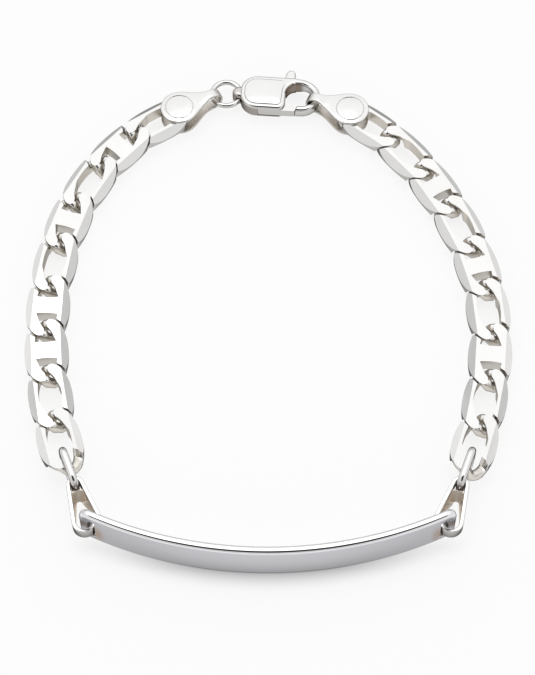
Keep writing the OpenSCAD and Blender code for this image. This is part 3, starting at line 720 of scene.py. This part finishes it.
# Jump ring
# A ring of round wire, soldered shut, through the left cap and the clasp's tail.
RING_W, RING_WIRE = 4.4, 0.66
ring_r = (RING_W - RING_WIRE) / 2
low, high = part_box("jump_ring")
ring_at = (low + high) / 2 / MM
# painted shade on upright walls, and a dark painted shadow in the hook's hole, the lever's room, the
# grooves and at the tail
clasp_metal = silver("clasp_silver", (0.91, 0.905, 0.895), (0.58, 0.57, 0.555), (0.27, 0.22, 0.185), 0.12)
ring = mesh_of(hoop(ring_at, ring_r, circle(RING_WIRE / 2), 96), "ring_wire")
piece("ring_wire", ring, clasp_metal, "clasp_silver", "jump_ring")

# Clasp
# The cast body of the lobster clasp: two walls with a raised panel on each, joined along the
# far side, a hook that comes round to the gate, and a tail with an eye for the ring.
CLASP_LEN, CLASP_W, CLASP_T, CLASP_WALL = 10.5, 5.1, 2.5, 0.55
HOOK_OPEN, HOOK_OPEN_LEN, HOOK_T = 3.1, 3.55, 1.6
TAIL_CORNER, TAIL_W, TAIL_TIP = 2.2, 1.75, 1.06
PANEL_CORNER, PANEL_IN, PANEL_T, PANEL_FALL, RIM = 1.0, 0.5, 0.6, 0.12, 0.15
HEEL_R, PIN_D, LEVER_PLAY, NUB_W = 1.0, 0.6, 0.05, 1.4
half = CLASP_W / 2
hook_w = (CLASP_W - HOOK_OPEN) / 2
hook_x = CLASP_LEN - half
hook_r = (CLASP_W - hook_w) / 2
hole_x = hook_x - (HOOK_OPEN_LEN - HOOK_OPEN)
hole_front = hole_x - HOOK_OPEN / 2
lever_h = CLASP_T - 2 * CLASP_WALL - 2 * LEVER_PLAY
pin = np.array([TAIL_CORNER + 0.54, HEEL_R - half])
split_x, split_slant = hook_x - 0.6, 0.42
nub_x = hook_x - 1.3
pivot = np.array(frame["joints"][0]["pos_m"]) / MM
to_pin = pivot[:2] - np.array(ring_at)[:2]
clasp_turn = math.atan2(to_pin[1], to_pin[0]) - math.atan2(pin[1], ring_r + pin[0])
clasp_long = (math.cos(clasp_turn), math.sin(clasp_turn))
on_clasp = lying((ring_at.x + ring_r * clasp_long[0], ring_at.y + ring_r * clasp_long[1], pivot[2]),
                 clasp_long)


def round_the_pin(radius, reach):
    """A plug round the lever's pin, reaching this far up and down."""
    return mesh_of(slab(arc(pin[0], pin[1], radius, 0, 345, 23), -reach, reach, 0.01, 1), "plug")


def body_outline():
    """The two walls seen from above, from the tail to the hook's hole and back."""
    points = arc(TAIL_CORNER, TAIL_CORNER - half, TAIL_CORNER, 180, 270)
    points += arc(hole_front - PANEL_CORNER, PANEL_CORNER - half, PANEL_CORNER, 270, 360, 8)
    points += arc(hole_x, 0, HOOK_OPEN / 2, 180, 100, 14)
    points += [(points[-1][0], half)]
    return points + arc(TAIL_CORNER, half - TAIL_CORNER, TAIL_CORNER, 90, 180)


def lever_room():
    """The room for the lever between the walls, open on the near side and under the nub."""
    gate, right, far = hole_front + 0.45, nub_x + NUB_W / 2 + LEVER_PLAY, pin[0] + 0.72
    room = [(pin[0], -half - 1), (gate, -half - 1), (gate, half - 1.65), (right - 0.5, half - 1.3),
            (right, half - 1.15), (right, half + 1), (far, half + 1), (far, half - 0.05),
            (pin[0] + 0.24, 0.95), (pin[0] - 0.14, -0.5)]
    room += arc(pin[0], pin[1], HEEL_R + LEVER_PLAY, 105, 255, 12)
    return slab(room, -lever_h / 2 - LEVER_PLAY, lever_h / 2 + LEVER_PLAY, 0.01, 1)


def panel_outline():
    """The raised panel, which keeps in from the body's edge."""
    points = arc(TAIL_CORNER, TAIL_CORNER - half, TAIL_CORNER - PANEL_IN, 180, 270)
    points += arc(hole_front - PANEL_CORNER - 0.1, PANEL_CORNER - half + 0.1, PANEL_CORNER - 0.4,
                  270, 360, 8)
    points += [(x - 0.42, y + 0.3) for x, y in arc(hole_x, 0, HOOK_OPEN / 2, 180, 128, 8)]
    points += [(hole_x - 1.2, half - PANEL_IN)]
    return points + arc(TAIL_CORNER, half - TAIL_CORNER, TAIL_CORNER - PANEL_IN, 90, 180)


def pillow(x, y, z):
    """Lets the panel fall off gently towards its edges."""
    fall = PANEL_FALL * ((2 * x / hole_front - 1) ** 4 + (y / (half - 0.4)) ** 4)
    return Vector((x, y, z - math.copysign(fall, z)))


def clasp_panel(way):
    """The panel above or below the body."""
    middle_z = way * (CLASP_T / 2 - PANEL_T / 2)
    raised = slab(panel_outline(), middle_z - PANEL_T / 2, middle_z + PANEL_T / 2, 0.2, 5)
    sliced(raised, 0, np.arange(0.4, hole_front + 0.6, 0.3))
    sliced(raised, 1, np.arange(-2.1, 2.2, 0.3))
    return mesh_of(moved(raised, pillow), "panel")


def clasp_hook():
    """The far arm and the hook: a bar that turns round the hole and gets thinner and rounder
    towards its nose, which ends at a slanted split."""
    path = [((x, hook_r), (0, 1)) for x in np.linspace(hole_x - 1.4, hook_x, 12, endpoint=False)]
    for a in np.radians(np.linspace(90, -90, 37)):
        path.append(((hook_x + hook_r * math.cos(a), hook_r * math.sin(a)), (math.cos(a), math.sin(a))))
    path += [((x, -hook_r), (0, -1)) for x in np.linspace(hook_x, split_x, 6)[1:]]
    sections = []
    for i in range(len(path)):
        blend = ramp(i, 5, 20)
        half_h = (CLASP_T / 2 - RIM) * (1 - blend) + HOOK_T / 2 * blend
        squareness = 3.6 * (1 - blend) + 2.5 * blend
        sections.append([bowed(f, hook_w / 2, half_h, squareness)
                         for f in np.linspace(0, 2 * math.pi, 32, endpoint=False)])
    hook = swept(level(at for at, _ in path), level(out for _, out in path), sections, closed=False)
    for v in hook.verts:
        nose = split_x + split_slant * (v.co.y + half)
        if v.co.x < nose and v.co.y < 0:
            v.co.x = nose
    return mesh_of(hook, "hook")


def clasp_tail():
    """The lug at the tail."""
    outline = arc(TAIL_W / 2 - TAIL_TIP, 0, TAIL_W / 2, 90, 270, 20)
    outline += [(1.2, -TAIL_W / 2), (1.2, TAIL_W / 2)]
    return mesh_of(slab(outline, -CLASP_T / 2 + 0.15, CLASP_T / 2 - 0.35, 0.5, 6), "tail")


def clasp_cast():
    """The whole casting with its pin, drawn along x from the ring's wire."""
    shell = mesh_of(slab(body_outline(), RIM - CLASP_T / 2, CLASP_T / 2 - RIM, 0.38, 5), "clasp_shell")
    shell = carved(shell, mesh_of(lever_room(), "lever_room"))
    for part in (round_the_pin(PIN_D / 2, 1.0), clasp_panel(-1), clasp_panel(1), clasp_hook(),
                 clasp_tail()):
        shell = carved(shell, part, how="UNION")
    eye = hoop(Vector((-ring_r, 0, 0)), ring_r, circle(RING_WIRE / 2 + 0.12, 20), 64)
    return carved(shell, mesh_of(eye, "eye"))


def dull_painted_shade_in_clasp(at, facing):
    """Painted shade and duller gloss on the hole's walls, the lever's room, the tail's tip and the groove
    round each panel.
    """
    from_hole = Vector((at.x - hole_x, at.y, 0))
    in_hole = ramp(-facing.dot(from_hole.normalized()), 0.3, 0.8)
    in_hole *= 1 - ramp(from_hole.length, HOOK_OPEN / 2 + 0.1, HOOK_OPEN / 2 + 0.3)
    in_hole *= 1 - ramp(at.x, hole_x + 0.2, hole_x + 1)
    in_room = in_groove = 0.0
    if at.x < hole_front + 0.3 and at.y < half - 0.1 and abs(at.z) < lever_h / 2 + 0.08:
        in_room = 0.6
    if at.x < hole_front - 0.05 and abs(at.y) < half - 0.35 and abs(at.z) > CLASP_T / 2 - RIM - 0.02:
        in_groove = 0.7 * (1 - ramp(abs(facing.z), 0.75, 0.9))
    return max(in_hole, in_room, in_groove, 0.35 if at.x < 0.1 else 0.0)


shell = placed(marked(clasp_cast(), "FACE", dull_painted_shade_in_clasp), on_clasp)
piece("clasp_cast", shell, clasp_metal, "clasp_silver", "clasp_body")

# Lever
# The sprung lever that closes the hook: a flat silver casting on a pin near the tail, with the
# gate at its front and a thumb nub at the far side.
NUB_OUT = 1.5


def lever_outline():
    """The lever from its heel along the gate and back under the nub."""
    outer_y, tip_x, nub_right = 0.05 - half, split_x - 0.1, nub_x + NUB_W / 2
    points = [(pin[0], outer_y), (tip_x, outer_y),
              (tip_x + split_slant * (hook_w + 0.2), outer_y + hook_w + 0.2),
              (hole_front + 0.6, -0.5), (hole_front + 0.4, 0.5), (nub_right - 0.35, half - 1.2),
              (nub_right, half - 0.95), (nub_right, half - 0.3), (nub_x - NUB_W / 2, half - 0.3),
              (hole_front - 0.85, half - 0.9), (hole_front - 1.85, half - 2.05),
              (pin[0] + 0.46, pin[1] + 1.1)]
    return points + arc(pin[0], pin[1], HEEL_R, 80, 262, 16)


def thumb_nub():
    """The nub, a little wider at its foot than at its top."""
    shares = ((0.5, -0.6), (0.5, 0.1), (0.43, 0.75 * NUB_OUT), (0.24, NUB_OUT), (-0.14, NUB_OUT),
              (-0.38, 0.75 * NUB_OUT), (-0.60, 0.05), (-0.5, -0.6))
    outline = [(nub_x + share * NUB_W - 0.25, half + out) for share, out in shares]
    return mesh_of(slab(outline, -lever_h / 2, lever_h / 2, 0.3, 5), "nub")


def dull_painted_shade_on_gate(at, facing):
    """Painted shade and duller gloss on the gate's wall at the hook's hole."""
    from_hole = Vector((at.x - hole_x, at.y, 0))
    return 0.9 * ramp(-facing.dot(from_hole.normalized()), 0.3, 0.8) * ramp(from_hole.y, 0, 0.5)


lever = mesh_of(slab(lever_outline(), -lever_h / 2, lever_h / 2, 0.05, 2), "lever")
lever = carved(lever, thumb_nub(), how="UNION")
hole = slab(arc(hole_x, 0, HOOK_OPEN / 2 + 0.05, 0, 355, 71), -2, 2, 0.01, 1)
lever = carved(lever, mesh_of(hole, "hole"), round_the_pin(PIN_D / 2 + 0.06, 2))
lever = placed(marked(lever, "FACE", dull_painted_shade_on_gate), on_clasp)
piece("clasp_gate", lever, clasp_metal, "clasp_silver", "clasp_lever", body="lever")

# Table
# A plain white table top under the bracelet, lit from below like a photographer's light table,
# so that its shadows stay pale. Just in front of the plate a soft shadow is painted into its
# glow, darker where the plate closes the table in.
TABLE_HALF, TABLE_GLOW, SHADOW_REACH = 0.6, 0.80, 0.0024
SHADOW_START_Y, SHADOW_FULL_Y, SHADOW_DEPTH, SHADOW_FALL = -0.031, -0.035, 1.3, 1.3
table = bpy.data.materials.new("white_table")
table.use_nodes = True
tree = table.node_tree
open_sky = added(tree, "ShaderNodeAmbientOcclusion", {"Distance": SHADOW_REACH})
closed_in = added(tree, "ShaderNodeMath", {0: 1.0, 1: open_sky.outputs["AO"]}, operation="SUBTRACT")
soft = added(tree, "ShaderNodeMath", {0: closed_in.outputs["Value"], 1: SHADOW_FALL},
             operation="POWER")
place = added(tree, "ShaderNodeTexCoord")
spot = added(tree, "ShaderNodeSeparateXYZ", {"Vector": place.outputs["Object"]})
in_front = added(tree, "ShaderNodeMapRange",
                 {"Value": spot.outputs["Y"], "From Min": SHADOW_START_Y, "From Max": SHADOW_FULL_Y,
                  "To Max": SHADOW_DEPTH})
shade = added(tree, "ShaderNodeMath", {0: soft.outputs["Value"], 1: in_front.outputs["Result"]},
              operation="MULTIPLY")
# painted shadow: the glow is darkened in front of the plate where it is closed in
glow_with_painted_shadow = added(tree, "ShaderNodeMix", {"Factor": shade.outputs["Value"], "A": (1, 1, 1, 1),
                                     "B": (0, 0, 0, 1)}, data_type="RGBA")
shader = tree.nodes["Principled BSDF"]
for name, value in (("Base Color", (0.24, 0.24, 0.24, 1)), ("Roughness", 0.9),
                    ("Specular IOR Level", 0.0), ("Emission Strength", TABLE_GLOW)):
    shader.inputs[name].default_value = value
tree.links.new(glow_with_painted_shadow.outputs["Result"], shader.inputs["Emission Color"])
floor_mesh = bpy.data.meshes.new("table_top")
corners = [(TABLE_HALF * x, TABLE_HALF * y, 0) for x, y in ((-1, -1), (1, -1), (1, 1), (-1, 1))]
floor_mesh.from_pydata(corners, [], [(0, 1, 2, 3)])
floor_mesh.materials.append(table)
floor = bpy.data.objects.new("table_top", floor_mesh)
scene.collection.objects.link(floor)

# Light and camera
# A white tent with a grey wall low down on both sides, darker gaps in front and behind near
# the table, and a dark opening in front where the camera looks in.
CAMERA_UP, CAMERA_AWAY = math.radians(61), 270.0
AIM_X, AIM_BEHIND_PLATE = 0.03, 31.678
PHOTO_H, FOCAL_PIXELS, SENSOR = 675, 2173.4, 36
LAMP_AT, LAMP_SIZE, LAMP_W = (-0.05, 0.12, 0.5), 0.3, 0.25
to_camera = Vector((0, -math.cos(CAMERA_UP), math.sin(CAMERA_UP)))
world = bpy.data.worlds.new("tent")
scene.world = world
world.use_nodes = True
tree = world.node_tree
way = added(tree, "ShaderNodeTexCoord").outputs["Generated"]
split = added(tree, "ShaderNodeSeparateXYZ", {"Vector": way})


def tent_tone(value, stops):
    """Grey tone of the tent along a value from -1 to 1, given as (value, grey) stops."""
    shift = added(tree, "ShaderNodeMapRange", {"Value": value, "From Min": -1, "From Max": 1})
    tone = added(tree, "ShaderNodeValToRGB", {"Fac": shift.outputs["Result"]})
    tone.color_ramp.interpolation = "EASE"
    for at, grey in stops[1:-1]:
        tone.color_ramp.elements.new((at + 1) / 2).color = (grey, grey, grey, 1)
    for k, (at, grey) in ((0, stops[0]), (-1, stops[-1])):
        tone.color_ramp.elements[k].position = (at + 1) / 2
        tone.color_ramp.elements[k].color = (grey, grey, grey, 1)
    return tone.outputs["Color"]


def mixed(kind, a, b, share=1.0):
    """Two tones of the tent mixed or multiplied, by a share or an output."""
    mix = added(tree, "ShaderNodeMix", {"Factor": share, "A": a, "B": b},
                data_type="RGBA", blend_type=kind)
    return mix.outputs["Result"]


def facing_the_way(direction):
    """1 in this direction and -1 away from it."""
    dot = added(tree, "ShaderNodeVectorMath", {0: way, 1: direction}, operation="DOT_PRODUCT")
    return dot.outputs["Value"]


sides = tent_tone(split.outputs["Z"], [(-1, 0.78), (0.12, 0.78), (0.34, 1.0), (1, 1.0)])
ends = tent_tone(split.outputs["Z"], [(-1, 0.22), (0.13, 0.22), (0.24, 0.95), (1, 1.0)])
sideways = tent_tone(split.outputs["X"], [(-1, 1.0), (-0.56, 1.0), (-0.38, 0.0),
                                          (0.38, 0.0), (0.56, 1.0), (1, 1.0)])
roof = tent_tone(facing_the_way((0, -to_camera.y, to_camera.z)),
                 [(-1, 0.80), (0.55, 0.80), (0.90, 1.0), (1, 1.0)])
opening = tent_tone(facing_the_way(to_camera), [(-1, 1.0), (0.82, 1.0), (0.90, 0.05), (1, 0.05)])
tent = mixed("MIX", ends, sides, sideways)
tent = mixed("MULTIPLY", mixed("MULTIPLY", tent, roof), opening)
tree.links.new(tent, tree.nodes["Background"].inputs["Color"])
tree.nodes["Background"].inputs["Strength"].default_value = 1.0

lamp = bpy.data.lights.new("overhead", "AREA")
lamp.energy, lamp.size = LAMP_W, LAMP_SIZE
holder = bpy.data.objects.new("overhead", lamp)
holder.location = LAMP_AT
holder.rotation_euler = (-Vector(LAMP_AT)).to_track_quat("-Z", "Y").to_euler()
scene.collection.objects.link(holder)

lens = bpy.data.cameras.new("camera")
camera = bpy.data.objects.new("camera", lens)
scene.collection.objects.link(camera)
scene.camera = camera
target = Vector((plate_x - AIM_X, plate_y - PLATE_BEND + AIM_BEHIND_PLATE, 0))
camera.location = (target + CAMERA_AWAY * to_camera) * MM
camera.rotation_euler = (math.pi / 2 - CAMERA_UP, 0, 0)
lens.sensor_fit = "VERTICAL"
lens.sensor_height = SENSOR
lens.lens = SENSOR * FOCAL_PIXELS / PHOTO_H
lens.clip_start, lens.clip_end = 0.01, 10
scene.view_settings.view_transform = "Standard"
